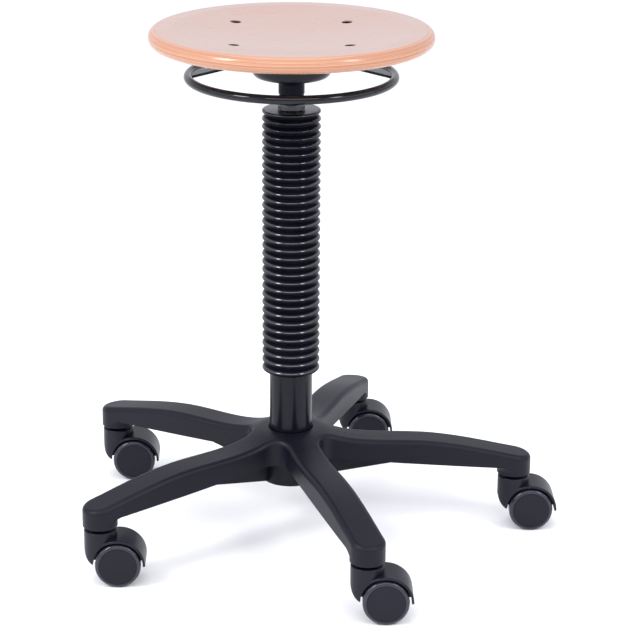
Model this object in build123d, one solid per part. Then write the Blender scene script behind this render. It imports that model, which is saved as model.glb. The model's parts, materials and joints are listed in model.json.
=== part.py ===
from build123d import *

import os
from math import cos, hypot, pi, radians, sin, sqrt, tan

# Work stool with a round plywood seat, a ring release under it, a gas column in a ribbed bellows
# and a five-armed base on twin-wheel casters.
# Millimetres. The origin is on the floor, on the column axis. +Z is up and one arm points along +X.

# Overall sizes
seat_height = 600.0        # floor to the rim of the seat, column fully out
lift_travel = 180.0        # how far the seat goes down
stem_circle_r = 265.0      # column axis to each caster stem
arm_count = 5

# Clearances
running_clear = 0.05       # radial room of a shaft or slider in its bore
rest_gap = 0.3             # room between pieces that move past each other or meet when used
cut_over = 1.0             # how far a cutting shape runs past what it cuts
least_flat = 0.2           # flat left beside a rounding
near = 0.05                # how close two points count as one

# Seat board and its fasteners
seat_d = 320.0
seat_t = 18.0
seat_edge_r = 8.5          # rounding of the rim, top and bottom
dish_d = 270.0             # shallow hollow in the top
dish_depth = 10.0
screw_spacing = 127.0      # side of the square of screws
screw_d = 6.0
screw_head_d = 12.0
screw_hole_clear = 0.3     # radial room of the screws in the board and the plate
head_clear = 0.3           # radial room of the heads in their countersinks
socket_across = 4.0        # hexagon of the screw head
socket_depth = 2.4
nut_across = 10.0
nut_t = 5.0
thread_show = 2.0          # screw end past the nut

# Seat plate and bowl
plate_size = 160.0         # square plate under the board
plate_t = 3.0
plate_corner_r = 22.0
fulcrum_r = 22.0           # bead that the release plate rocks on
fulcrum_wall = 4.0
fulcrum_drop = 7.5
bowl_wall = 2.5
bowl_r = 46.0              # bowl at its top
bowl_turn_w = 8.0          # from the top of the bowl in to its floor
bowl_flare_w = 8.0         # width of the floor about the trumpet mouth
bowl_flange_w = 12.0
bowl_floor_rise = 18.8     # height of the floor at its outer edge over the bottom of the socket
bowl_flare_rise = 16.7
bowl_neck_rise = 11.5
slot_side_clear = 4.5      # room of the release strips in the bowl's slots
slot_over = 5.0
slot_under = 6.0
slot_in = 7.5              # slots reach in past the floor's outer edge
bowl_floor_slope = 0.2     # rise over run where the floor turns up into the wall
bowl_wall_lean = 0.1       # run over rise where the wall meets the flange
socket_l = 31.4            # tapered sleeve that holds the column
socket_wall = 0.8          # at its lower end

# Release ring
ring_d = 232.0             # centre line
ring_rod_d = 10.0
ring_drop = 36.5           # ring centre below the seat board
strip_w = 20.0
strip_t = 3.0
strip_start = 10.0         # inner end of a strip, from the axis
strip_bend = 30.0          # where a strip leaves the release plate
release_plate_d = 52.0
release_plate_t = 3.0
pin_d = 8.0
pin_dome_r = 6.0
pin_show = 9.9             # valve pin above the top of the gas cylinder
pin_l = 32.0
pin_room = 5.0             # space under the pin

# Gas cylinder and piston rod
cylinder_d = 28.0
cylinder_wall = 1.6
cylinder_taper = 1.2       # degrees, in the socket
cylinder_lip_w = 3.0       # rolled lower edge
valve_floor_t = 3.2        # closed end under the valve pin's space
rod_d = 10.0
rod_journal_d = 8.0
rod_guide_l = 12.0
rod_seal_l = 4.0
piston_l = 12.0
piston_lift = 8.0          # piston above the rod seal, column fully out
journal_out = 3.5          # rod end below the tube floor
clip_t = 1.4
clip_wall = 3.0
clip_depth = 1.0           # groove in the rod

# Stand tube, its floor, the thrust bearing and the guide
tube_d = 50.0
tube_wall = 2.0
tube_l = 256.0
tube_taper = 1.0           # degrees, in the hub
tube_floor_t = 4.0
washer_d = 30.0
washer_t = 2.0
ball_d = 4.0
ball_circle_d = 22.0
ball_count = 12
ball_gap = 0.2             # room between a ball and each washer
cage_t = 1.8
cage_w = 6.5
cage_clear = 0.15
buffer_d = 26.0
buffer_h = 8.0
buffer_clear = 2.0         # cylinder over the buffer at the lowest seat
bush_l = 80.0
bush_flange_t = 3.0

# Bellows
rib_count = 33
rib_crest_d = 67.0
rib_valley_d = 54.0
rib_crest_w = 3.8          # flat of a crest
rib_valley_w = 1.0         # flat of a valley
bellows_wall = 1.4
neck_show = 10.5           # bare cylinder between the bellows and the socket
tube_show = 69.6           # bare tube between the hub and the bellows
collar_h = 6.5
collar_wall = 0.9
dome_h = 1.2               # bellows top, from the last crest to the collar
dome_shoulder = 3.0        # rounding of the last crest, inwards

# Five-armed base
hub_h = 63.5
hub_r = 34.0
hub_flat_w = 3.0           # level ring of the hub's top about the stand tube
hub_mouth = 1.5            # bevel of the hub's bore at its top
hub_rise = 31.5            # hub top over the arm ends
tube_recess = 4.0          # stand tube's lower end above the hub's lower end
arm_w = 39.4
arm_blend_r = 18.0         # hollow corner between two arms
arm_edge_r = 6.0           # rounding along the top of the arms
arm_root_r = 50.0          # where the hub's slope runs into the arm
arm_root_drop = 5.0        # arm root below the hub top
arm_bow = 4.7              # rise of the arm's top over a straight line
arm_skin = 4.0             # top wall
arm_wall = 3.2             # side walls
arm_tip_h = 26.5           # depth of the arm's end over its caster
lip_root_drop = 33.0       # lower edge of the side walls below the hub top, at the hub
lip_tip_rise = 11.5        # the same edge above the arm's lower end, at the tip
lip_bow = 0.8
boss_flare = 7.0           # hollow rounding where the end of an arm runs into its underside
rib_t = 4.0                # rib along the middle of an arm
rib_reach = 160.0          # where the rib's lower edge meets the side walls' lower edge
rib_foot = 2.0             # rib's lower edge above the hub's lower end
cross_rib_count = 3

# Casters
wheel_d = 51.6
wheel_w = 18.6
wheel_inner = 4.2          # inner side of a wheel, from the caster's middle plane
tread_t = 4.2
tread_round = 3.6          # outer shoulder
cap_gap = 0.7              # groove between the wheel's cap and its tread
wheel_hub_r = 8.0
wheel_cap_t = 3.0
wheel_rim_t = 2.6
axle_d = 8.0
axle_end_gap = 1.0         # axle end to the inside of the wheel's cap
trail = 20.1               # axle behind the stem
hood_gap = 2.2             # hood over the wheels
hood_wall = 2.5
hood_half_w = 21.5
hood_round = 1.6
hood_tail = 0.6            # hood's lower end below the axle, behind the wheels
barrel_r = 18.5            # round housing under the arm
barrel_rise = 7.3          # top of the barrel over the top of the hood
nose_h = 18.0              # height of the barrel's rounded lower front
nose_slope = 0.5           # rise over run where that front starts
web_half = 3.6             # wall between the two wheels
boss_r = 9.0               # round end of that wall about the axle
swivel_gap = 4.0           # barrel to arm
stem_d = 11.0
stem_in_arm = 20.0
stem_in_barrel = 10.5
stem_end_gap = 0.5
stem_collar_d = 20.0
grip_ring_t = 1.6
grip_ring_depth = 0.8
grip_ring_up = 9.0         # grip ring above the arm's lower end

# Heights and radii that follow from the sizes above
arm_step = 360 / arm_count
wheel_r = wheel_d / 2
hood_inner_r = wheel_r + hood_gap
hood_r = hood_inner_r + hood_wall
hood_top = wheel_r + hood_r + barrel_rise
arm_low = hood_top + swivel_gap
arm_tip_top = arm_low + arm_tip_h
hub_top = arm_tip_top + hub_rise
hub_low = hub_top - hub_h
tube_low = hub_low + tube_recess
tube_top = tube_low + tube_l
tube_r = tube_d / 2
tube_floor_top = tube_low + tube_floor_t
lower_washer_top = tube_floor_top + washer_t
ball_height = lower_washer_top + ball_gap + ball_d / 2
upper_washer_low = ball_height + ball_d / 2 + ball_gap
upper_washer_top = upper_washer_low + washer_t
buffer_top = upper_washer_top + buffer_h
cylinder_low = buffer_top + buffer_clear + lift_travel
cylinder_r = cylinder_d / 2
cylinder_bore_r = cylinder_r - cylinder_wall
seal_low = cylinder_low + cylinder_wall
guide_low = seal_low + rod_seal_l
piston_low = guide_low + rod_guide_l + piston_lift
piston_top = piston_low + piston_l
seat_low = seat_height - seat_t
seat_plate_low = seat_low - plate_t
fulcrum_low = seat_plate_low - fulcrum_drop
release_top = fulcrum_low - rest_gap
release_low = release_top - release_plate_t
pin_top = release_low - rest_gap
cylinder_top = pin_top - pin_show
socket_low = cylinder_top - socket_l
collar_top = socket_low - neck_show
bellows_low = hub_top + tube_show
ring_height = seat_low - ring_drop
bowl_floor_r = bowl_r - bowl_turn_w
bowl_flare_r = bowl_floor_r - bowl_flare_w
ring_r = ring_d / 2
axle_height = wheel_r
screw_offset = screw_spacing / 2
screw_circle_r = screw_offset * sqrt(2)
dish_sphere_r = ((dish_d / 2) ** 2 + dish_depth ** 2) / (2 * dish_depth)


def tube(outer_r, inner_r, low, high):
    """Plain tube on the column axis."""
    return Pos(0, 0, low) * extrude(Circle(outer_r) - Circle(inner_r), high - low)


def rod(radius, low, high):
    """Plain round bar on the column axis."""
    return Pos(0, 0, low) * extrude(Circle(radius), high - low)


def turned(*points):
    """Solid of revolution about the column axis, from a closed outline of radius and height."""
    return revolve(make_face(Plane.XZ * Polyline(*points, close=True)), Axis.Z)


def turned_under(line, low):
    """Solid of revolution between a line drawn outwards from the axis and a level below it."""
    start = line @ 0
    end = line @ 1
    closing = Polyline(end, (end.X, low), (start.X, low), start)
    return revolve(make_face(Plane.XZ * (line + closing)), Axis.Z)


def around(shape, count=arm_count):
    """Copies of a shape, evenly spaced about the column axis."""
    return [Rot(0, 0, k * 360 / count) * shape for k in range(count)]


def square_points(offset):
    """The four corners of a square about the axis."""
    return [(x, y) for x in (-offset, offset) for y in (-offset, offset)]


def dish_surface(radius):
    """Height of the dished top at a distance from the axis."""
    return seat_height - dish_depth + dish_sphere_r - sqrt(dish_sphere_r ** 2 - radius ** 2)


# Seat board, screws and nuts
screw_head_top = dish_surface(screw_circle_r - screw_head_d / 2)
screw_head_h = (screw_head_d - screw_d) / 2
nut_top = seat_plate_low
nut_low = nut_top - nut_t
screw_low = nut_low - thread_show


def seat_board():
    """Round board with a bullnose rim, a dished top and four countersunk holes."""
    rim_r = seat_d / 2
    edge_r = min(seat_edge_r, seat_t / 2 - least_flat)
    flat_r = rim_r - edge_r
    dish_r = dish_d / 2
    bottom = Line((0, seat_low), (flat_r, seat_low))
    lower_round = RadiusArc(bottom @ 1, (rim_r, seat_low + edge_r), -edge_r)
    side = Line(lower_round @ 1, (rim_r, seat_height - edge_r))
    upper_round = RadiusArc(side @ 1, (flat_r, seat_height), -edge_r)
    rim_flat = Line(upper_round @ 1, (dish_r, seat_height))
    dish = RadiusArc((0, seat_height - dish_depth), rim_flat @ 1, -dish_sphere_r)
    axis_line = Line(dish @ 0, bottom @ 0)
    outline = bottom + lower_round + side + upper_round + rim_flat + dish + axis_line
    board = revolve(make_face(Plane.XZ * outline), Axis.Z)
    hole_r = screw_d / 2 + screw_hole_clear
    mouth_r = screw_head_d / 2 + head_clear
    sink = turned(
        (0, seat_low),
        (hole_r, seat_low),
        (hole_r, screw_head_top - (mouth_r - hole_r)),
        (mouth_r, screw_head_top),
        (mouth_r, seat_height),
        (0, seat_height),
    )
    for x, y in square_points(screw_offset):
        board -= Pos(x, y, 0) * sink
    return board


def seat_screw():
    """Countersunk screw with a hexagon socket."""
    shank_r = screw_d / 2
    body = turned(
        (0, screw_low),
        (shank_r, screw_low),
        (shank_r, screw_head_top - screw_head_h),
        (screw_head_d / 2, screw_head_top),
        (0, screw_head_top),
    )
    key = extrude(RegularPolygon(socket_across / 2, 6, major_radius=False), socket_depth)
    return body - Pos(0, 0, screw_head_top - socket_depth) * key


def seat_nut():
    """Hexagon nut under the seat plate."""
    face = RegularPolygon(nut_across / 2, 6, major_radius=False) - Circle(screw_d / 2)
    return Pos(0, 0, nut_low) * extrude(face, nut_t)


# Seat plate, bowl and socket
def seat_plate():
    """Square plate with four holes and the bead that the release plate rocks on."""
    face = RectangleRounded(plate_size, plate_size, plate_corner_r)
    for x, y in square_points(screw_offset):
        face -= Pos(x, y) * Circle(screw_d / 2 + screw_hole_clear)
    plate = Pos(0, 0, seat_plate_low) * extrude(face, plate_t)
    return plate + tube(fulcrum_r, fulcrum_r - fulcrum_wall, fulcrum_low, seat_plate_low)


def cylinder_outer_r(height):
    """Outer radius of the gas cylinder, which narrows inside the socket."""
    return cylinder_r - max(0, height - socket_low) * tan(radians(cylinder_taper))


def strip_height(radius):
    """Middle of a release strip at a distance from the axis."""
    start = release_low - strip_t / 2
    slope = (start - ring_height) / (ring_r - strip_bend)
    return start - max(0, radius - strip_bend) * slope


socket_r = cylinder_r + socket_wall


def seat_bowl():
    """Pressed bowl with a trumpet mouth round the socket and slots for the release strips."""
    neck = socket_low + bowl_neck_rise
    flare = socket_low + bowl_flare_rise
    floor = socket_low + bowl_floor_rise
    top = seat_plate_low
    flange_r = bowl_r + bowl_flange_w
    outwards = (1, bowl_floor_slope)
    upwards = (bowl_wall_lean, 1)
    inwards = (-1, -bowl_floor_slope)
    downwards = (-bowl_wall_lean, -1)
    mouth = Spline(
        (socket_r, neck),
        (bowl_flare_r, flare),
        (bowl_floor_r, floor),
        tangents=((1, 1), outwards),
    )
    wall = Spline(mouth @ 1, (bowl_r, top - bowl_wall), tangents=(outwards, upwards))
    flange = Polyline(wall @ 1, (flange_r, top - bowl_wall), (flange_r, top), (bowl_r - bowl_wall, top))
    inner_wall = Spline(
        flange @ 1,
        (bowl_floor_r - bowl_wall / 2, floor + bowl_wall),
        tangents=(downwards, inwards),
    )
    inner_mouth = Spline(
        inner_wall @ 1,
        (bowl_flare_r - bowl_wall / 2, flare + bowl_wall),
        (socket_r, neck + bowl_wall),
        tangents=(inwards, (-1, -1)),
    )
    rim = Line(inner_mouth @ 1, mouth @ 0)
    bowl = revolve(make_face(Plane.XZ * (mouth + wall + flange + inner_wall + inner_mouth + rim)), Axis.Z)
    centre = strip_height(bowl_r)
    low = centre - strip_t / 2 - slot_under
    high = centre + strip_t / 2 + slot_over
    inner_x = bowl_floor_r - slot_in
    outer_x = bowl_r + cut_over
    cut = Box(outer_x - inner_x, strip_w + 2 * slot_side_clear, high - low)
    for side in (-1, 1):
        bowl -= Pos(side * (inner_x + outer_x) / 2, 0, (low + high) / 2) * cut
    return bowl


def seat_socket():
    """Sleeve with a tapered bore that holds the top of the gas cylinder."""
    return turned(
        (cylinder_outer_r(socket_low), socket_low),
        (socket_r, socket_low),
        (socket_r, cylinder_top),
        (cylinder_outer_r(cylinder_top), cylinder_top),
    )


# Release ring, strips and plate, and the valve pin that they press
def release_ring():
    """Round rod bent to a full ring."""
    return Pos(0, 0, ring_height) * Torus(ring_r, ring_rod_d / 2)


def release_strip():
    """Flat strip from the release plate out and down to the ring."""
    half_t = strip_t / 2
    points = [
        (strip_start, strip_height(strip_start) - half_t),
        (strip_bend, strip_height(strip_bend) - half_t),
        (ring_r, ring_height - half_t),
        (ring_r, ring_height + half_t),
        (strip_bend, strip_height(strip_bend) + half_t),
        (strip_start, strip_height(strip_start) + half_t),
    ]
    face = make_face(Plane.XZ * Polyline(*points, close=True))
    return extrude(face, strip_w / 2, both=True) - release_ring()


def release_plate():
    """Round plate between the fulcrum bead and the valve pin."""
    return rod(release_plate_d / 2, release_low, release_top)


def valve_pin():
    """Pin with a domed top."""
    radius = pin_d / 2
    shoulder = pin_top - pin_dome_r + sqrt(pin_dome_r ** 2 - radius ** 2)
    low = pin_top - pin_l
    dome = RadiusArc((radius, shoulder), (0, pin_top), -pin_dome_r)
    sides = Polyline((0, pin_top), (0, low), (radius, low), (radius, shoulder))
    return revolve(make_face(Plane.XZ * (dome + sides)), Axis.Z)


# Gas cylinder, its inner pieces and the piston rod
def gas_cylinder():
    """Thin tube with a rolled lower edge and a tapered top."""
    lip_r = cylinder_bore_r - cylinder_lip_w
    return turned(
        (lip_r, cylinder_low),
        (cylinder_r, cylinder_low),
        (cylinder_r, socket_low),
        (cylinder_outer_r(cylinder_top), cylinder_top),
        (cylinder_outer_r(cylinder_top) - cylinder_wall, cylinder_top),
        (cylinder_outer_r(cylinder_top) - cylinder_wall, socket_low),
        (cylinder_bore_r, socket_low),
        (cylinder_bore_r, seal_low),
        (lip_r, seal_low),
    )


def valve_body():
    """Plug that closes the top of the cylinder and guides the valve pin."""
    radius = cylinder_outer_r(cylinder_top) - cylinder_wall
    bore_low = pin_top - pin_l - pin_room
    bore_r = pin_d / 2 + running_clear
    plug = rod(radius, bore_low - valve_floor_t, cylinder_top)
    return plug - rod(bore_r, bore_low, cylinder_top)


def piston_rod():
    """Rod that stands on the thrust bearing, with a journal through the tube floor."""
    journal_r = rod_journal_d / 2
    groove_high = tube_low - rest_gap
    groove_low = groove_high - clip_t
    groove_r = journal_r - clip_depth
    low = tube_low - journal_out
    return turned(
        (0, low),
        (journal_r, low),
        (journal_r, groove_low),
        (groove_r, groove_low),
        (groove_r, groove_high),
        (journal_r, groove_high),
        (journal_r, upper_washer_top),
        (rod_d / 2, upper_washer_top),
        (rod_d / 2, piston_low),
        (journal_r, piston_low),
        (journal_r, piston_top),
        (0, piston_top),
    )


def rod_clip():
    """Ring that holds the rod in the tube floor."""
    high = tube_low - rest_gap
    inner_r = rod_journal_d / 2 - clip_depth
    return tube(inner_r + clip_wall, inner_r, high - clip_t, high)


# Stand tube, its floor, the thrust bearing and the guide bush
def tube_outer_r(height):
    """Outer radius of the stand tube, which narrows inside the hub."""
    return tube_r - max(0, hub_top - height) * tan(radians(tube_taper))


def stand_tube():
    """Steel tube with a tapered lower end."""
    return turned(
        (tube_outer_r(tube_low), tube_low),
        (tube_r, hub_top),
        (tube_r, tube_top),
        (tube_r - tube_wall, tube_top),
        (tube_r - tube_wall, hub_top),
        (tube_outer_r(tube_low) - tube_wall, tube_low),
    )


def thrust_cage():
    """Flat ring with a pocket for each ball."""
    mid_r = ball_circle_d / 2
    face = Circle(mid_r + cage_w / 2) - Circle(mid_r - cage_w / 2)
    for pocket in around(Pos(mid_r, 0) * Circle(ball_d / 2 + cage_clear), ball_count):
        face -= pocket
    return Pos(0, 0, ball_height - cage_t / 2) * extrude(face, cage_t)


def guide_bush():
    """Plastic sleeve in the top of the stand tube, with a flange on its edge."""
    bore_r = cylinder_r + running_clear
    sleeve = tube(tube_r - tube_wall, bore_r, tube_top - bush_l, tube_top)
    return sleeve + tube(tube_r, bore_r, tube_top, tube_top + bush_flange_t)


# Bellows
rib_top = collar_top - collar_h - dome_h - rib_crest_w / 2
rib_pitch = (rib_top - bellows_low + rib_valley_w / 2) / (rib_count - 1 / 2)


def bellows_levels(inset, lowest):
    """Radius and height of every circle of the ribbed wall, from its lowest rib up."""
    crest_r = rib_crest_d / 2 - inset
    valley_r = rib_valley_d / 2 - inset
    crest_half = rib_crest_w / 2 - inset / 2
    valley_half = (rib_pitch - rib_valley_w - inset) / 2
    levels = []
    for k in range(lowest, rib_count):
        centre = rib_top - (rib_count - 1 - k) * rib_pitch
        levels.append((valley_r, centre - valley_half))
        levels.append((crest_r, centre - crest_half))
        levels.append((crest_r, centre + crest_half))
        levels.append((valley_r, centre + valley_half))
    return levels[:-1]


def lofted(levels):
    """Solid through level circles on the column axis, with straight sides between them."""
    return loft([Pos(0, 0, z) * Circle(r) for r, z in levels], ruled=True)


def bellows():
    """Ribbed sleeve with a collar on the gas cylinder and a solid lowest rib on the stand tube."""
    neck_r = cylinder_r + rest_gap
    foot_r = tube_r + rest_gap
    collar_r = neck_r + collar_wall
    collar_low = collar_top - collar_h
    shoulder_r = rib_crest_d / 2 - dome_shoulder
    shoulder = rib_top + rib_crest_w / 2 + dome_h / 2
    outer = bellows_levels(0, 0)
    outer += [(shoulder_r, shoulder), (collar_r, collar_low), (collar_r, collar_top)]
    inner = bellows_levels(bellows_wall, 1)
    inner += [(shoulder_r - bellows_wall, shoulder - bellows_wall), (neck_r, collar_low - bellows_wall)]
    sleeve = lofted(outer) - lofted(inner)
    sleeve -= rod(neck_r, collar_low - 2 * bellows_wall, collar_top)
    return sleeve - rod(foot_r, bellows_low, bellows_low + rib_pitch + bellows_wall)


# Five-armed base
arm_half_w = arm_w / 2
arm_end_r = stem_circle_r + arm_half_w
lip_tip = arm_low + lip_tip_rise


def star_face(half_width, blend_r):
    """Plan of the arms, with round ends and hollow corners between them."""
    reach = Pos(stem_circle_r / 2, 0) * Rectangle(stem_circle_r, 2 * half_width)
    arm = reach + Pos(stem_circle_r, 0) * Circle(half_width)
    star = arm
    for turned_arm in around(arm)[1:]:
        star += turned_arm
    corner_r = half_width / sin(pi / arm_count)
    corners = [v for v in star.vertices() if abs(hypot(v.X, v.Y) - corner_r) < near]
    return fillet(corners, blend_r)


def arm_top_line(drop):
    """Top of the hub and the arms from the axis outwards, lowered by a wall."""
    root = hub_top - arm_root_drop
    mid_r = (arm_root_r + stem_circle_r) / 2
    mid = (root + arm_tip_top) / 2 + arm_bow
    slope = (root - arm_tip_top + 4 * arm_bow) / (stem_circle_r - arm_root_r)
    end = arm_tip_top - slope * (arm_end_r - stem_circle_r)
    flat_r = tube_r + hub_flat_w
    flat = Line((0, hub_top - drop), (flat_r, hub_top - drop))
    crown = Spline(
        flat @ 1,
        (arm_root_r, root - drop),
        (mid_r, mid - drop),
        (stem_circle_r, arm_tip_top - drop),
        (arm_end_r + cut_over, end - drop),
        tangents=((1, 0), (1, -slope)),
    )
    return flat + crown


def lip_line():
    """Lower edge of the side walls, from the axis outwards."""
    root = hub_top - lip_root_drop
    flat = Line((0, root), (hub_r, root))
    bow = SagittaArc(flat @ 1, (stem_circle_r - arm_half_w, lip_tip), -lip_bow)
    tip = Line(bow @ 1, (arm_end_r + cut_over, lip_tip))
    return flat + bow + tip


def end_boss():
    """Round end of an arm over its caster, which runs into the underside with a hollow rounding."""
    start = lip_tip - boss_flare
    top = lip_tip + arm_skin
    flare = RadiusArc((arm_half_w, start), (arm_half_w + boss_flare, lip_tip), boss_flare)
    sides = Polyline(
        flare @ 1,
        (arm_half_w + boss_flare, top),
        (0, top),
        (0, arm_low),
        (arm_half_w, arm_low),
        flare @ 0,
    )
    boss = revolve(make_face(Plane.XZ * (flare + sides)), Axis.Z)
    return Pos(stem_circle_r, 0, 0) * boss


def arm_rib():
    """Rib along the middle of an arm, deepest at the hub."""
    root = hub_top - lip_root_drop
    tip_r = stem_circle_r - arm_half_w
    run = (rib_reach - hub_r) / (tip_r - hub_r)
    meet = root + (lip_tip - root) * run
    points = [
        (tube_r + arm_wall, hub_low + rib_foot),
        (hub_r, hub_low + rib_foot),
        (rib_reach, meet + rib_foot),
        (tip_r, lip_tip + rib_foot),
        (tip_r, arm_tip_top),
        (tube_r + arm_wall, hub_top),
    ]
    face = make_face(Plane.XZ * Polyline(*points, close=True))
    return extrude(face, rib_t / 2, both=True)


def cross_rib(distance):
    """Short rib across an arm, between its side walls."""
    height = hub_top - arm_low
    rise = lip_line_height(distance) + 2 * rib_foot
    return Pos(distance, 0, rise + height / 2) * Box(rib_t, arm_w, height)


def lip_line_height(distance):
    """Height of the straight line under the bowed lower edge of the side walls."""
    root = hub_top - lip_root_drop
    span = stem_circle_r - arm_half_w - hub_r
    return root + (lip_tip - root) * (distance - hub_r) / span


def arm_blank(plan):
    """Arms and hub as one block, rounded along the top and cut off at the side walls' lower edge."""
    block = Pos(0, 0, hub_low) * extrude(plan, hub_top - hub_low)
    block &= turned_under(arm_top_line(0), hub_low)
    rim = plan.face().outer_wire()
    edges = [e for e in block.edges() if e.bounding_box().min.Z > arm_low]
    top_edges = [e for e in edges if rim.distance_to(Vertex((e @ 0.5).X, (e @ 0.5).Y, 0)) < near]
    return fillet(top_edges, arm_edge_r) - turned_under(lip_line(), hub_low)


def arm_hollow():
    """Space under the arms, between the side walls, the hub, the end bosses and the ribs."""
    height = hub_top - hub_low
    plan = star_face(arm_half_w - arm_wall, arm_blend_r + arm_wall)
    hollow = Pos(0, 0, hub_low) * extrude(plan, height)
    hollow &= turned_under(arm_top_line(arm_skin), hub_low)
    post = Pos(stem_circle_r, 0, hub_low) * extrude(Circle(arm_half_w), height)
    kept = [rod(hub_r, hub_low, hub_top)] + around(post) + around(arm_rib())
    spacing = (stem_circle_r - arm_w - arm_root_r) / cross_rib_count
    for k in range(cross_rib_count):
        kept += around(cross_rib(arm_root_r + (k + 1) * spacing))
    return hollow - kept


def star_base():
    """Moulded base: hollow arms with ribs below, a hub with a tapered bore and a socket at each end."""
    plan = star_face(arm_half_w, arm_blend_r)
    block = arm_blank(plan) - arm_hollow()
    boss = end_boss() & Pos(0, 0, hub_low) * extrude(plan, hub_top - hub_low)
    spine = arm_rib() & turned_under(arm_top_line(arm_skin / 2), hub_low)
    block += [rod(hub_r, hub_low, hub_top - arm_skin)] + around(boss) + around(spine)
    bore = turned(
        (0, hub_low),
        (tube_outer_r(hub_low), hub_low),
        (tube_outer_r(hub_top - hub_mouth), hub_top - hub_mouth),
        (tube_r + hub_mouth, hub_top),
        (tube_r + hub_mouth, hub_top + arm_skin),
        (0, hub_top + arm_skin),
    )
    socket = rod(stem_d / 2, arm_low, arm_low + stem_in_arm + stem_end_gap)
    return block - ([bore] + [Pos(x, y, 0) * socket for x, y in stem_points()])


def stem_points():
    """Where the caster stems stand."""
    angles = [radians(k * arm_step) for k in range(arm_count)]
    return [(stem_circle_r * cos(a), stem_circle_r * sin(a)) for a in angles]


# Casters, made about a stem on the Z axis, with the wheels trailing along +X
def caster_stem():
    """Steel stem with a collar under the arm and a groove for its grip ring."""
    radius = stem_d / 2
    low = hood_top - stem_in_barrel
    groove = arm_low + grip_ring_up
    groove_r = radius - grip_ring_depth
    collar_r = stem_collar_d / 2
    return turned(
        (0, low),
        (radius, low),
        (radius, hood_top + rest_gap),
        (collar_r, hood_top + rest_gap),
        (collar_r, arm_low),
        (radius, arm_low),
        (radius, groove),
        (groove_r, groove),
        (groove_r, groove + grip_ring_t),
        (radius, groove + grip_ring_t),
        (radius, arm_low + stem_in_arm),
        (0, arm_low + stem_in_arm),
    )


def grip_ring():
    """Spring ring in the groove of a stem."""
    low = arm_low + grip_ring_up
    return tube(stem_d / 2, stem_d / 2 - grip_ring_depth, low, low + grip_ring_t)


def hood_crown():
    """Half round cover over both wheels, rounded along its two open edges."""
    circle = Pos(trail, axle_height) * Circle(hood_r)
    reach = trail + hood_r
    height = hood_r + hood_tail
    window = Pos(reach / 2, axle_height - hood_tail + height / 2) * Rectangle(reach, height)
    crown = extrude(Plane.XZ * (circle & window), hood_half_w, both=True)
    crown &= extrude(hood_plan(), hood_top)
    arcs = [e for e in crown.edges() if e.geom_type == GeomType.CIRCLE]
    open_edges = [e for e in arcs if abs((e @ 0.5).Y) > hood_half_w - hood_round]
    return fillet(open_edges, hood_round)


def hood_barrel():
    """Round housing of the stem, with a nose that runs down in front of the wheels."""
    nose_x = trail - hood_inner_r - hood_wall / 2
    left = -barrel_r
    leaving = (-1, nose_slope)
    nose = Spline((nose_x, axle_height), (left, axle_height + nose_h), tangents=(leaving, (0, 1)))
    rest = Polyline(nose @ 1, (left, hood_top), (barrel_r, hood_top), (barrel_r, axle_height), nose @ 0)
    side = extrude(make_face(Plane.XZ * (nose + rest)), barrel_r, both=True)
    barrel = side & extrude(Circle(barrel_r), hood_top)
    return fillet(barrel.edges().group_by(Axis.Z)[-1], hood_round)


def across(radius, length):
    """Round bar along the axle, centred on the caster's middle plane."""
    return Pos(trail, 0, axle_height) * Rot(90, 0, 0) * Cylinder(radius, length)


def caster_hood():
    """Hood over both wheels with a round housing for the stem and a wall between the wheels."""
    body = hood_crown() + hood_barrel()
    pocket_w = hood_half_w - web_half + hood_wall
    middle = web_half + pocket_w / 2
    pocket = across(hood_inner_r, pocket_w)
    body -= [Pos(0, -middle, 0) * pocket, Pos(0, middle, 0) * pocket]
    body += across(boss_r, 2 * web_half)
    stem_hole_low = hood_top - stem_in_barrel - stem_end_gap
    stem_hole = rod(stem_d / 2 + running_clear, stem_hole_low, hood_top)
    return body - [across(axle_d / 2, 2 * web_half), stem_hole]


def hood_plan():
    """Hood seen from above: a round housing that widens to the width of the wheels."""
    right = trail + hood_r + cut_over
    widen_x = barrel_r
    nose = CenterArc((0, 0), barrel_r, 90, 180)
    lower = Spline((0, -barrel_r), (widen_x, -hood_half_w), tangents=((1, 0), (1, 0)))
    box = Polyline(
        (widen_x, -hood_half_w),
        (right, -hood_half_w),
        (right, hood_half_w),
        (widen_x, hood_half_w),
    )
    upper = Spline((widen_x, hood_half_w), (0, barrel_r), tangents=((-1, 0), (-1, 0)))
    return make_face(nose + lower + box + upper)


def caster_axle():
    """Plain pin through the wall between the wheels."""
    return across(axle_d / 2, 2 * (wheel_inner + wheel_w - wheel_cap_t - axle_end_gap))


def on_axle(face, side):
    """Solid of revolution about the axle, from a face of radius and distance off the middle plane."""
    wheel = revolve(make_face(Plane.XZ * face), Axis.Z)
    return Pos(trail, 0, axle_height) * Rot(-90 * side, 0, 0) * wheel


def caster_wheel(side):
    """Wheel with a bored hub, a rim and a closed cap on its outer side."""
    bore_r = axle_d / 2 + running_clear
    rim_r = wheel_r - tread_t
    outer = wheel_inner + wheel_w
    cap_low = outer - wheel_cap_t
    face = Polyline(
        (0, outer),
        (rim_r - cap_gap, outer),
        (rim_r - cap_gap, outer - cap_gap),
        (rim_r, outer - cap_gap),
        (rim_r, wheel_inner),
        (rim_r - wheel_rim_t, wheel_inner),
        (rim_r - wheel_rim_t, cap_low - cap_gap),
        (wheel_hub_r, cap_low - cap_gap),
        (wheel_hub_r, wheel_inner),
        (bore_r, wheel_inner),
        (bore_r, cap_low),
        (0, cap_low),
        close=True,
    )
    return on_axle(face, side)


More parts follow.
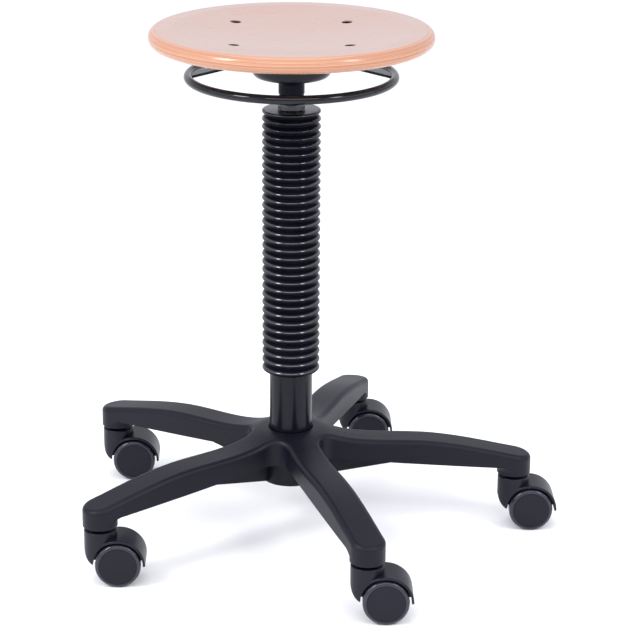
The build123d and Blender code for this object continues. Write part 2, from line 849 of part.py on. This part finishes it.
def caster_tread(side):
    """Soft tread with a rounded outer shoulder."""
    rim_r = wheel_r - tread_t
    outer = wheel_inner + wheel_w
    round_r = min(tread_round, tread_t - least_flat)
    corner = RadiusArc((wheel_r, outer - round_r), (wheel_r - round_r, outer), -round_r)
    sides = Polyline(
        (wheel_r - round_r, outer),
        (rim_r, outer),
        (rim_r, wheel_inner),
        (wheel_r, wheel_inner),
        (wheel_r, outer - round_r),
    )
    return on_axle(corner + sides, side)


# The nodes
def column_nodes():
    """Everything on the column axis, by node name."""
    ball = Pos(ball_circle_d / 2, 0, ball_height) * Sphere(ball_d / 2)
    stems = [Pos(x, y, 0) * caster_stem() for x, y in stem_points()]
    rings = [Pos(x, y, 0) * grip_ring() for x, y in stem_points()]
    screws = [Pos(x, y, 0) * seat_screw() for x, y in square_points(screw_offset)]
    nuts = [Pos(x, y, 0) * seat_nut() for x, y in square_points(screw_offset)]
    strip = release_strip()
    journal_hole_r = rod_journal_d / 2 + running_clear
    journal_r = rod_journal_d / 2
    return {
        "star_base": [star_base()],
        "caster_stems": stems,
        "stem_grip_rings": rings,
        "stand_tube": [stand_tube()],
        "tube_floor": [tube(tube_outer_r(tube_low) - tube_wall, journal_hole_r, tube_low, tube_floor_top)],
        "guide_bush": [guide_bush()],
        "lower_thrust_washer": [tube(washer_d / 2, rod_d / 2, tube_floor_top, lower_washer_top)],
        "thrust_cage": [thrust_cage()],
        "thrust_balls": around(ball, ball_count),
        "upper_thrust_washer": [tube(washer_d / 2, journal_r, upper_washer_low, upper_washer_top)],
        "rubber_buffer": [tube(buffer_d / 2, rod_d / 2, upper_washer_top, buffer_top)],
        "rod_clip": [rod_clip()],
        "piston_rod": [piston_rod()],
        "piston": [tube(cylinder_bore_r - running_clear, journal_r, piston_low, piston_top)],
        "bellows": [bellows()],
        "gas_cylinder": [gas_cylinder()],
        "rod_seal": [tube(cylinder_bore_r, rod_d / 2 + running_clear, seal_low, guide_low)],
        "rod_guide": [tube(cylinder_bore_r, rod_d / 2 + running_clear, guide_low, guide_low + rod_guide_l)],
        "valve_body": [valve_body()],
        "valve_pin": [valve_pin()],
        "seat_socket": [seat_socket()],
        "seat_bowl": [seat_bowl()],
        "seat_plate": [seat_plate()],
        "seat_board": [seat_board()],
        "seat_screws": screws,
        "seat_nuts": nuts,
        "release_plate": [release_plate()],
        "release_strips": [strip, Rot(0, 0, 180) * strip],
        "release_ring": [release_ring()],
    }


def caster_nodes():
    """The five casters, by node name."""
    pieces = {
        "hood": caster_hood(),
        "axle": caster_axle(),
        "left_wheel": caster_wheel(-1),
        "left_tread": caster_tread(-1),
        "right_wheel": caster_wheel(1),
        "right_tread": caster_tread(1),
    }
    nodes = {}
    for number, (x, y) in enumerate(stem_points(), start=1):
        for name, piece in pieces.items():
            nodes[f"caster_{number}_{name}"] = [Pos(x, y, 0) * piece]
    return nodes


os.makedirs("parts", exist_ok=True)
for node, shapes in {**column_nodes(), **caster_nodes()}.items():
    solids = [solid for shape in shapes for solid in shape.solids()]
    export_step(Compound(solids), f"parts/{node}.step")
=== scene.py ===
import json
from math import cos, pi, radians, sin

import bpy
from mathutils import Matrix, Vector


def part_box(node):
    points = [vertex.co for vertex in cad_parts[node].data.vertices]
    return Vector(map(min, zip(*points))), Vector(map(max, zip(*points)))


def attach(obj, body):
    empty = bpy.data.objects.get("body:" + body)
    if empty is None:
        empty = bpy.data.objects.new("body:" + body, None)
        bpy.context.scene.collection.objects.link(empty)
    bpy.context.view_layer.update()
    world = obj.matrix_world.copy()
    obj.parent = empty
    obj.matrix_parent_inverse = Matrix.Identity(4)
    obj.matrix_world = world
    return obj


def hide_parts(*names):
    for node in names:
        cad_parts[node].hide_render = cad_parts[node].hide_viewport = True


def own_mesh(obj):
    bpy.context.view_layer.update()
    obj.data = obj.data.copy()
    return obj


# Work stool: looks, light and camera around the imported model. Metres, +Z up, floor at zero.
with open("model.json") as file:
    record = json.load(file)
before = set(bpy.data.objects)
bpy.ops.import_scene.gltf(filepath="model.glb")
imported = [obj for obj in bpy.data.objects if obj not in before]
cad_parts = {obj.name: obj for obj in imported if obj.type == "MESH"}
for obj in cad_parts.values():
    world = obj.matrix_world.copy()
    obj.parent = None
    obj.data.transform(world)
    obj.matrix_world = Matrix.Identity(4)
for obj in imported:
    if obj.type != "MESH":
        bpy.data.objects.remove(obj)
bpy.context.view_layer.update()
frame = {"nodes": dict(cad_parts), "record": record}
scene = bpy.context.scene
MM = 0.001

# Camera, as the photograph was taken
IMAGE_PX = 640
FOCAL_PX = 2291.8
SENSOR = 36.0
CAMERA_PLACE = Vector((-0.01596, -2.51857, 1.11533))
CAMERA_HEADING = radians(-1.129)   # turn away from looking along +Y
CAMERA_PITCH = radians(18.816)     # looking down
CAMERA_ROLL = 0.0067

# Lights: azimuth in degrees, 0 on the camera's side and positive to its right, then distance, height,
# width and height of the light, and power in watts
LIGHTS = {
    "softbox_left": (-60, 2.4, 2.3, (0.7, 1.2), 44),
    "softbox_right": (52, 2.4, 2.3, (0.5, 1.2), 24),
    "softbox_front": (0, 2.7, 2.7, (3.2, 0.8), 34),
    "softbox_top": (180, 0.4, 3.0, (1.6, 1.6), 16),
    "strip_left": (-64, 2.2, 0.95, (2.6, 0.5), 7),
    "strip_right": (64, 2.2, 0.95, (2.6, 0.5), 7),
}
LIGHT_AIM = Vector((0, 0, 0.35))
SURROUND_COLOUR = (0.91, 0.93, 1.0, 1)
SURROUND_STRENGTH = 1.0
FLOOR_HALF = 30.0
FLOOR_COLOUR = (0.96, 0.96, 0.97, 1)
FLOOR_ROUGHNESS = 0.6

# Bellows, in millimetres
RIB_COUNT = 33
RIB_DEPTH = 6.5
RIB_SPREAD = 0.065      # share by which the lowest ribs stand further apart, and the top ones closer
RIB_SWELL = 2.0         # fullness of a rib
RIB_STEPS = 18          # points across one rib
RIB_CROWD = 0.5         # how far these points crowd towards the crest
RIB_HIGHLIGHT_BAND = (11, 15)    # points of a rib between which it takes the glossy finish, above its crest: a painted highlight band
TOP_RIB_DROP = 9.6      # collar's top to the middle of the top rib
DISC_RISE = 1.9         # flat top of the bellows above the middle of the top rib
DISC_ROUND = 2.4        # rounding of its edge
DISC_EVEN = 0.3         # strip beside each rounding that keeps the shading of the flat even
COLLAR_WALL = 1.2
COLLAR_FOOT = 1.4       # hollow rounding at the foot of the collar
COLLAR_UPRIGHT = 4.0    # height of the collar's upright part; above it the collar is rounded
FIT_GAP = 0.3           # room of the bellows on the cylinder and the tube
BELLOWS_WALL = 1.2
LATHE_STEPS = 96
DULL, HIGHLIGHT_GLOSS = 0, 1     # finishes of the bellows, in the order of its materials; the glossy one paints highlight bands on the ribs, the disc and the collar

# Seat board: linear colours, and widths in millimetres
VENEER_PALE = (0.420, 0.301, 0.279)
VENEER_WARM = (0.400, 0.256, 0.204)
VENEER_FLECK = (0.27, 0.155, 0.105)
VENEER_ROUGHNESS = (0.24, 0.34)    # over the grain
PLY_LIGHT = (0.60, 0.307, 0.192)
PLY_DARK = (0.38, 0.174, 0.099)
PLY_GLUE = (0.15, 0.063, 0.033)
# tone of each ply from the top down, from dark at 0 to light at 1
PLY_TONES = (0.55, 0.35, 0.62, 0.42, 0.60, 0.95, 0.10, 0.62, 0.38, 0.66, 0.48, 0.60)
PLY_COUNT = len(PLY_TONES)
PLY_WAVE = 0.012                   # waviness of the plies, as a share of the board's thickness
PLY_ENDS = 0.28                    # most that the ends of the wood fibres darken a ply
RIM_WIDTH = 8.0                    # rounded rim, from the board's edge to the flat top
RIM_BLEND = 0.5                    # strip in which the veneer gives way to the plies
RIM_POLISH = -0.08                 # change of roughness on the rim

# Nodes whose coating differs from the rest of their slot: the neck's dull coat is painted shade under the seat,
# the ring's is a glossier coat
OWN_FINISH = {"seat_socket": "neck_painted_shade", "gas_cylinder": "neck_painted_shade", "release_ring": "ring_steel"}


# Meshes
def lathe(name, outline):
    """Closed ring made by turning a closed outline of (radius, height, finish) in metres about the column axis."""
    count = len(outline)
    places = []
    for k in range(LATHE_STEPS):
        angle = 2 * pi * k / LATHE_STEPS
        places += [(r * cos(angle), r * sin(angle), z) for r, z, finish in outline]
    faces = []
    for k in range(LATHE_STEPS):
        here = k * count
        there = ((k + 1) % LATHE_STEPS) * count
        for i in range(count):
            j = (i + 1) % count
            faces.append((here + i, there + i, there + j, here + j))
    mesh = bpy.data.meshes.new(name)
    mesh.from_pydata(places, [], faces)
    mesh.polygons.foreach_set("use_smooth", [True] * len(faces))
    mesh.polygons.foreach_set("material_index", [finish for r, z, finish in outline] * LATHE_STEPS)
    mesh.update()
    piece = bpy.data.objects.new(name, mesh)
    scene.collection.objects.link(piece)
    return piece


def valley_height(count, low, top):
    """Height reached after a number of ribs from the lowest; the top rib's middle is at the top."""
    share = count / (RIB_COUNT - 1 / 2)
    return low + (top - low) * (share + RIB_SPREAD * share * (1 - share))


def rib(k, low, top, valley_r):
    """Rounded rib from its lower valley to just before its upper one; the top rib ends below its crest."""
    middle = valley_height(k + 1 / 2, low, top)
    half = middle - valley_height(k, low, top)
    steps = RIB_STEPS // 2 if k == RIB_COUNT - 1 else RIB_STEPS
    line = []
    for i in range(steps):
        even = 2 * i / RIB_STEPS - 1
        along = even * abs(even) ** RIB_CROWD
        swell = 1 - abs(along) ** RIB_SWELL
        # painted highlight: the glossy finish only on a band above the crest, with the crest and underside dull
        finish = HIGHLIGHT_GLOSS if RIB_HIGHLIGHT_BAND[0] <= i < RIB_HIGHLIGHT_BAND[1] else DULL
        line.append((valley_r + RIB_DEPTH * MM * swell, middle + half * along, finish))
    return line


def quarter(r, z, width, height, steps=5):
    """Quarter round from an upright wall in and up to a level top."""
    turns = [pi / 2 * i / steps for i in range(steps + 1)]
    return [(r - width + width * cos(a), z + height * sin(a), HIGHLIGHT_GLOSS) for a in turns]


def hollow(r, z, radius, steps=4):
    """Hollow quarter round from a level floor in and up to an upright wall."""
    turns = [pi / 2 * i / steps for i in range(steps + 1)]
    return [(r + radius - radius * sin(a), z + radius - radius * cos(a), HIGHLIGHT_GLOSS) for a in turns]


def bellows_outline():
    """Outer skin from the lowest rib, which is solid, to the collar, then the inner skin back down."""
    low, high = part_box("bellows")
    neck_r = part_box("gas_cylinder")[1].x + FIT_GAP * MM
    foot_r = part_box("stand_tube")[1].x + FIT_GAP * MM
    collar_r = neck_r + COLLAR_WALL * MM
    crest_r = high.x
    valley_r = crest_r - RIB_DEPTH * MM
    top_rib = high.z - TOP_RIB_DROP * MM
    disc = top_rib + DISC_RISE * MM
    shoulder = disc + COLLAR_UPRIGHT * MM
    ribs = [rib(k, low.z, top_rib, valley_r) for k in range(RIB_COUNT)]
    outer = [(foot_r, low.z, DULL)]
    for line in ribs:
        outer += line
    # the disc's rounding, flat top and collar take the glossy finish that paints highlights
    outer += quarter(crest_r, top_rib, DISC_ROUND * MM, DISC_RISE * MM)
    outer.append((crest_r - (DISC_ROUND + DISC_EVEN) * MM, disc, HIGHLIGHT_GLOSS))
    outer.append((collar_r + (COLLAR_FOOT + DISC_EVEN) * MM, disc, HIGHLIGHT_GLOSS))
    outer += hollow(collar_r, disc, COLLAR_FOOT * MM)
    outer += quarter(collar_r, shoulder, COLLAR_WALL * MM, high.z - shoulder)[:-1]
    wall = BELLOWS_WALL * MM
    inner = [(neck_r, high.z, DULL), (neck_r, disc - wall, DULL)]
    for line in reversed(ribs[1:]):
        inner += [(max(r - wall, foot_r), z, DULL) for r, z, finish in reversed(line[::2])]
    return outer + inner


# Shader nodes
def paint(name):
    """New material with a principled shader; gives the material, its tree and the shader."""
    material = bpy.data.materials.new(name)
    material.use_nodes = True
    tree = material.node_tree
    return material, tree, tree.nodes["Principled BSDF"]


def give(tree, socket, value):
    """Sets an input to a value, or links it to a socket."""
    if isinstance(value, bpy.types.NodeSocket):
        tree.links.new(value, socket)
    else:
        socket.default_value = value


def node(tree, kind, inputs=None, **settings):
    """New node with its settings and inputs."""
    made = tree.nodes.new(kind)
    for key, value in settings.items():
        setattr(made, key, value)
    for key, value in (inputs or {}).items():
        give(tree, made.inputs[key], value)
    return made


def calc(tree, operation, a, b=0.0):
    """Result of a sum on one or two values."""
    return node(tree, "ShaderNodeMath", {0: a, 1: b}, operation=operation).outputs[0]


def object_place(tree, scale=(1, 1, 1)):
    """Place on the piece, stretched for streaked textures."""
    place = node(tree, "ShaderNodeTexCoord").outputs["Object"]
    return node(tree, "ShaderNodeMapping", {"Vector": place, "Scale": scale}).outputs["Vector"]


def noise(tree, place, scale, detail=2.0, roughness=0.5):
    """Even noise from 0 to 1."""
    inputs = {"Vector": place, "Scale": scale, "Detail": detail, "Roughness": roughness}
    return node(tree, "ShaderNodeTexNoise", inputs).outputs["Fac"]


def ramp(tree, value, stops, interpolation="LINEAR"):
    """Colours along a value, from a list of (place, colour)."""
    made = node(tree, "ShaderNodeValToRGB", {"Fac": value})
    made.color_ramp.interpolation = interpolation
    elements = made.color_ramp.elements
    while len(elements) < len(stops):
        elements.new(0.5)
    for element, (place, colour) in zip(elements, stops):
        element.position = place
        element.color = (*colour, 1)
    return made.outputs["Color"]


def rise(tree, value, start, end, most):
    """Share that rises from nothing at one value to its most at another."""
    return ramp(tree, value, [(start, (0, 0, 0)), (end, (most, most, most))])


def mixed(tree, share, a, b):
    """Two colours mixed by a share."""
    made = node(tree, "ShaderNodeMix", data_type="RGBA")
    give(tree, made.inputs["Factor"], share)
    for socket, colour in ((made.inputs[6], a), (made.inputs[7], b)):
        give(tree, socket, (*colour, 1) if isinstance(colour, tuple) else colour)
    return made.outputs[2]


def spread(tree, value, low, high):
    """A value from 0 to 1 spread over a range."""
    return node(tree, "ShaderNodeMapRange", {"Value": value, "To Min": low, "To Max": high}).outputs[0]


def within(tree, value, start, end):
    """Place of a value in a range, from 0 to 1."""
    return node(tree, "ShaderNodeMapRange", {"Value": value, "From Min": start, "From Max": end}).outputs[0]


def bump(tree, shader, height, strength, distance):
    """Small relief on a shader's normal; its distance is in millimetres."""
    inputs = {"Height": height, "Strength": strength, "Distance": distance * MM}
    tree.links.new(node(tree, "ShaderNodeBump", inputs).outputs["Normal"], shader.inputs["Normal"])


def surface(tree, shader, colour, roughness):
    """Links a shader's colour and roughness."""
    tree.links.new(colour, shader.inputs["Base Color"])
    tree.links.new(roughness, shader.inputs["Roughness"])


def times(colour, factor):
    """Lighter or darker colour."""
    return tuple(factor * c for c in colour)


# Materials
def moulded(name, colour, lit, roughness, grain, depth, shine=0.3):
    """Moulded plastic: fine grain, and faint cloudy changes of tone and gloss."""
    material, tree, shader = paint(name)
    shader.inputs["Specular IOR Level"].default_value = shine
    place = object_place(tree)
    clouds = noise(tree, place, scale=9.0, detail=3.0)
    fine = noise(tree, place, scale=grain)
    tone = ramp(tree, clouds, [(0.3, colour), (0.75, lit)])
    cloudy = spread(tree, clouds, -0.05, 0.05)
    grainy = spread(tree, fine, roughness - 0.06, roughness + 0.06)
    surface(tree, shader, tone, calc(tree, "ADD", cloudy, grainy))
    bump(tree, shader, fine, strength=0.35, distance=depth)
    return material


def coated(name, colour, roughness, shine=0.22):
    """Coated steel: a faint orange-peel relief under a smooth coat."""
    material, tree, shader = paint(name)
    shader.inputs["Specular IOR Level"].default_value = shine
    place = object_place(tree)
    peel = noise(tree, place, scale=420.0, detail=1.0)
    clouds = noise(tree, place, scale=14.0)
    tone = ramp(tree, clouds, [(0.3, colour), (0.8, times(colour, 1.5))])
    surface(tree, shader, tone, spread(tree, clouds, roughness - 0.04, roughness + 0.06))
    bump(tree, shader, peel, strength=0.12, distance=0.1)
    return material


def bright(name, colour, roughness):
    """Bare metal with fine turning marks round its axis."""
    material, tree, shader = paint(name)
    shader.inputs["Metallic"].default_value = 1.0
    marks = noise(tree, object_place(tree, (1, 1, 40)), scale=90.0, detail=3.0)
    tone = ramp(tree, marks, [(0.3, times(colour, 0.85)), (0.7, colour)])
    surface(tree, shader, tone, spread(tree, marks, roughness - 0.08, roughness + 0.08))
    return material


def rubber(name, colour, roughness, shine):
    """Smooth moulding with a soft bloom."""
    material, tree, shader = paint(name)
    shader.inputs["Specular IOR Level"].default_value = shine
    place = object_place(tree)
    clouds = noise(tree, place, scale=30.0, detail=3.0)
    fine = noise(tree, place, scale=900.0)
    tone = ramp(tree, clouds, [(0.35, colour), (0.75, times(colour, 1.8))])
    surface(tree, shader, tone, spread(tree, clouds, roughness - 0.05, roughness + 0.07))
    bump(tree, shader, fine, strength=0.10, distance=0.08)
    return material


def veneer(tree, grain):
    """Colour of the face: fine grain, broad figure, warm patches and short dark flecks, all along X."""
    figure = noise(tree, object_place(tree, (1.0, 7.0, 7.0)), scale=9.0, detail=3.0)
    patches = noise(tree, object_place(tree, (1.0, 1.8, 1.8)), scale=11.0)
    flecks = noise(tree, object_place(tree, (1.0, 9.0, 9.0)), scale=150.0, detail=1.0)
    colour = mixed(tree, spread(tree, grain, 0.0, 1.0), VENEER_PALE, VENEER_WARM)
    colour = mixed(tree, spread(tree, figure, 0.0, 0.5), colour, VENEER_WARM)
    colour = mixed(tree, rise(tree, patches, 0.45, 0.68, most=0.55), colour, VENEER_WARM)
    return mixed(tree, rise(tree, flecks, 0.62, 0.72, most=0.35), colour, VENEER_FLECK)


def plies(tree, height, low, high):
    """Colour of the rim: plies of different tone from the top down, with glue lines between them."""
    sway = calc(tree, "SUBTRACT", noise(tree, object_place(tree), scale=6.0), 0.5)
    depth = calc(tree, "ADD", within(tree, height, high, low), calc(tree, "MULTIPLY", sway, PLY_WAVE))
    tones = [tuple(d + t * (l - d) for d, l in zip(PLY_DARK, PLY_LIGHT)) for t in PLY_TONES]
    colour = ramp(tree, depth, [(k / PLY_COUNT, tone) for k, tone in enumerate(tones)], "CONSTANT")
    ends = noise(tree, object_place(tree, (1.0, 1.0, 0.25)), scale=260.0, detail=3.0)
    colour = mixed(tree, spread(tree, ends, 0.0, PLY_ENDS), colour, PLY_DARK)
    across = calc(tree, "FRACT", calc(tree, "MULTIPLY", depth, float(PLY_COUNT)))
    from_middle = calc(tree, "ABSOLUTE", calc(tree, "SUBTRACT", across, 0.5))
    return mixed(tree, rise(tree, from_middle, 0.38, 0.5, most=0.7), colour, PLY_GLUE)


def plywood():
    """Lacquered beech plywood: a pale veneer on the faces, and the plies along the rounded rim."""
    material, tree, shader = paint("plywood")
    low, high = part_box("seat_board")
    place = node(tree, "ShaderNodeTexCoord").outputs["Object"]
    axes = node(tree, "ShaderNodeSeparateXYZ", {"Vector": place}).outputs
    level = node(tree, "ShaderNodeCombineXYZ", {"X": axes["X"], "Y": axes["Y"]}).outputs[0]
    distance = node(tree, "ShaderNodeVectorMath", {0: level}, operation="LENGTH").outputs["Value"]
    rim_start = high.x - RIM_WIDTH * MM
    rim = within(tree, distance, rim_start, rim_start + RIM_BLEND * MM)
    grain = noise(tree, object_place(tree, (1.0, 26.0, 26.0)), scale=26.0, detail=4.0, roughness=0.6)
    colour = mixed(tree, rim, veneer(tree, grain), plies(tree, axes["Z"], low.z, high.z))
    polish = spread(tree, rim, 0.0, RIM_POLISH)
    surface(tree, shader, colour, calc(tree, "ADD", spread(tree, grain, *VENEER_ROUGHNESS), polish))
    shader.inputs["Specular IOR Level"].default_value = 0.4
    shader.inputs["Coat Weight"].default_value = 0.25
    shader.inputs["Coat Roughness"].default_value = 0.14
    bump(tree, shader, grain, strength=0.05, distance=0.1)
    return material


def materials():
    """One material for each slot of the record, and those of the nodes and ribs with their own finish: the neck's
    dull coat paints shade, and the ribs' glossy bands paint highlights.
    """
    return {
        "plywood": plywood(),
        "base_nylon": moulded(
            "base_nylon", (0.0034, 0.0037, 0.0085), (0.0052, 0.0055, 0.0115),
            roughness=0.42, grain=1100.0, depth=0.15, shine=0.2),
        "caster_nylon": moulded(
            "caster_nylon", (0.0036, 0.0040, 0.0095), (0.0052, 0.0057, 0.0125),
            roughness=0.36, grain=1400.0, depth=0.1, shine=0.24),
        "wheel_tread": moulded(
            "wheel_tread", (0.010, 0.011, 0.022), (0.014, 0.015, 0.028),
            roughness=0.14, grain=700.0, depth=0.02, shine=0.5),
        "bush_plastic": moulded(
            "bush_plastic", (0.62, 0.62, 0.58), (0.70, 0.70, 0.66),
            roughness=0.5, grain=900.0, depth=0.05),
        "black_steel": coated("black_steel", (0.0022, 0.0025, 0.0055), roughness=0.20),
        # dull coat of the neck that reflects little: painted shade under the seat
        "neck_painted_shade": coated("neck_painted_shade", (0.0030, 0.0038, 0.0085), roughness=0.30, shine=0.07),
        "ring_steel": coated("ring_steel", (0.0012, 0.0014, 0.0034), roughness=0.08, shine=0.36),
        "screw_steel": coated("screw_steel", (0.0075, 0.0055, 0.0055), roughness=0.55, shine=0.02),
        "bellows_rubber": rubber("bellows_rubber", (0.0040, 0.0042, 0.0080), roughness=0.30, shine=0.06),
        # glossy copy of the bellows rubber, laid in bands to paint highlights
        "bellows_highlight_gloss": rubber("bellows_highlight_gloss", (0.0030, 0.0032, 0.0070), roughness=0.15, shine=0.9),
        "soft_rubber": rubber("soft_rubber", (0.016, 0.016, 0.016), roughness=0.6, shine=0.5),
        "bright_steel": bright("bright_steel", (0.60, 0.60, 0.61), roughness=0.28),
        "brass": bright("brass", (0.76, 0.56, 0.25), roughness=0.30),
    }


# Stage, light and camera
def make_floor():
    """Wide pale floor."""
    mesh = bpy.data.meshes.new("floor")
    half = FLOOR_HALF
    corners = [(-half, -half, 0), (half, -half, 0), (half, half, 0), (-half, half, 0)]
    mesh.from_pydata(corners, [], [(0, 1, 2, 3)])
    floor = bpy.data.objects.new("floor", mesh)
    scene.collection.objects.link(floor)
    material, tree, shader = paint("floor")
    shader.inputs["Base Color"].default_value = FLOOR_COLOUR
    shader.inputs["Roughness"].default_value = FLOOR_ROUGHNESS
    mesh.materials.append(material)


def softbox(name, azimuth, distance, height, size, power):
    """Rectangular light aimed at the middle of the stool."""
    data = bpy.data.lights.new(name, "AREA")
    data.shape = "RECTANGLE"
    data.size, data.size_y = size
    data.energy = power
    light = bpy.data.objects.new(name, data)
    scene.collection.objects.link(light)
    angle = radians(azimuth)
    light.location = (distance * sin(angle), -distance * cos(angle), height)
    light.rotation_mode = "QUATERNION"
    light.rotation_quaternion = (light.location - LIGHT_AIM).to_track_quat("Z", "Y")


def make_light():
    """Softboxes to the left, the right, in front and overhead, a low strip on each side, and a pale surround."""
    for name, settings in LIGHTS.items():
        softbox(name, *settings)
    world = bpy.data.worlds.new("surround")
    world.use_nodes = True
    scene.world = world
    background = world.node_tree.nodes["Background"]
    background.inputs["Color"].default_value = SURROUND_COLOUR
    background.inputs["Strength"].default_value = SURROUND_STRENGTH
    scene.view_settings.view_transform = "Standard"


def make_camera():
    """Camera where the photograph was taken from."""
    data = bpy.data.cameras.new("camera")
    data.sensor_width = SENSOR
    data.lens = FOCAL_PX / IMAGE_PX * SENSOR
    camera = bpy.data.objects.new("camera", data)
    scene.collection.objects.link(camera)
    heading = Matrix.Rotation(CAMERA_HEADING, 4, "Z")
    pitch = Matrix.Rotation(pi / 2 - CAMERA_PITCH, 4, "X")
    roll = Matrix.Rotation(CAMERA_ROLL, 4, "Z")
    camera.matrix_world = Matrix.Translation(CAMERA_PLACE) @ heading @ pitch @ roll
    scene.camera = camera


# The object
def dress_nodes(palette):
    """Gives every node the material of its slot, or its own finish."""
    for part in frame["record"]["subparts"]:
        mesh = frame["nodes"][part["node"]].data
        finish = OWN_FINISH.get(part["node"], part["material_slot"])
        mesh.materials.clear()
        mesh.materials.append(palette[finish])


def add_bellows(palette):
    """Ribbed sleeve turned about the column, carried by the gas rod."""
    piece = lathe("bellows_sleeve", bellows_outline())
    # the second material is the glossy one that paints highlight bands
    for finish in ("bellows_rubber", "bellows_highlight_gloss"):
        piece.data.materials.append(palette[finish])
    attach(piece, "gas_rod")
    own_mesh(piece)
    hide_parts("bellows")


make_camera()
make_light()
make_floor()
finishes = materials()
dress_nodes(finishes)
add_bellows(finishes)
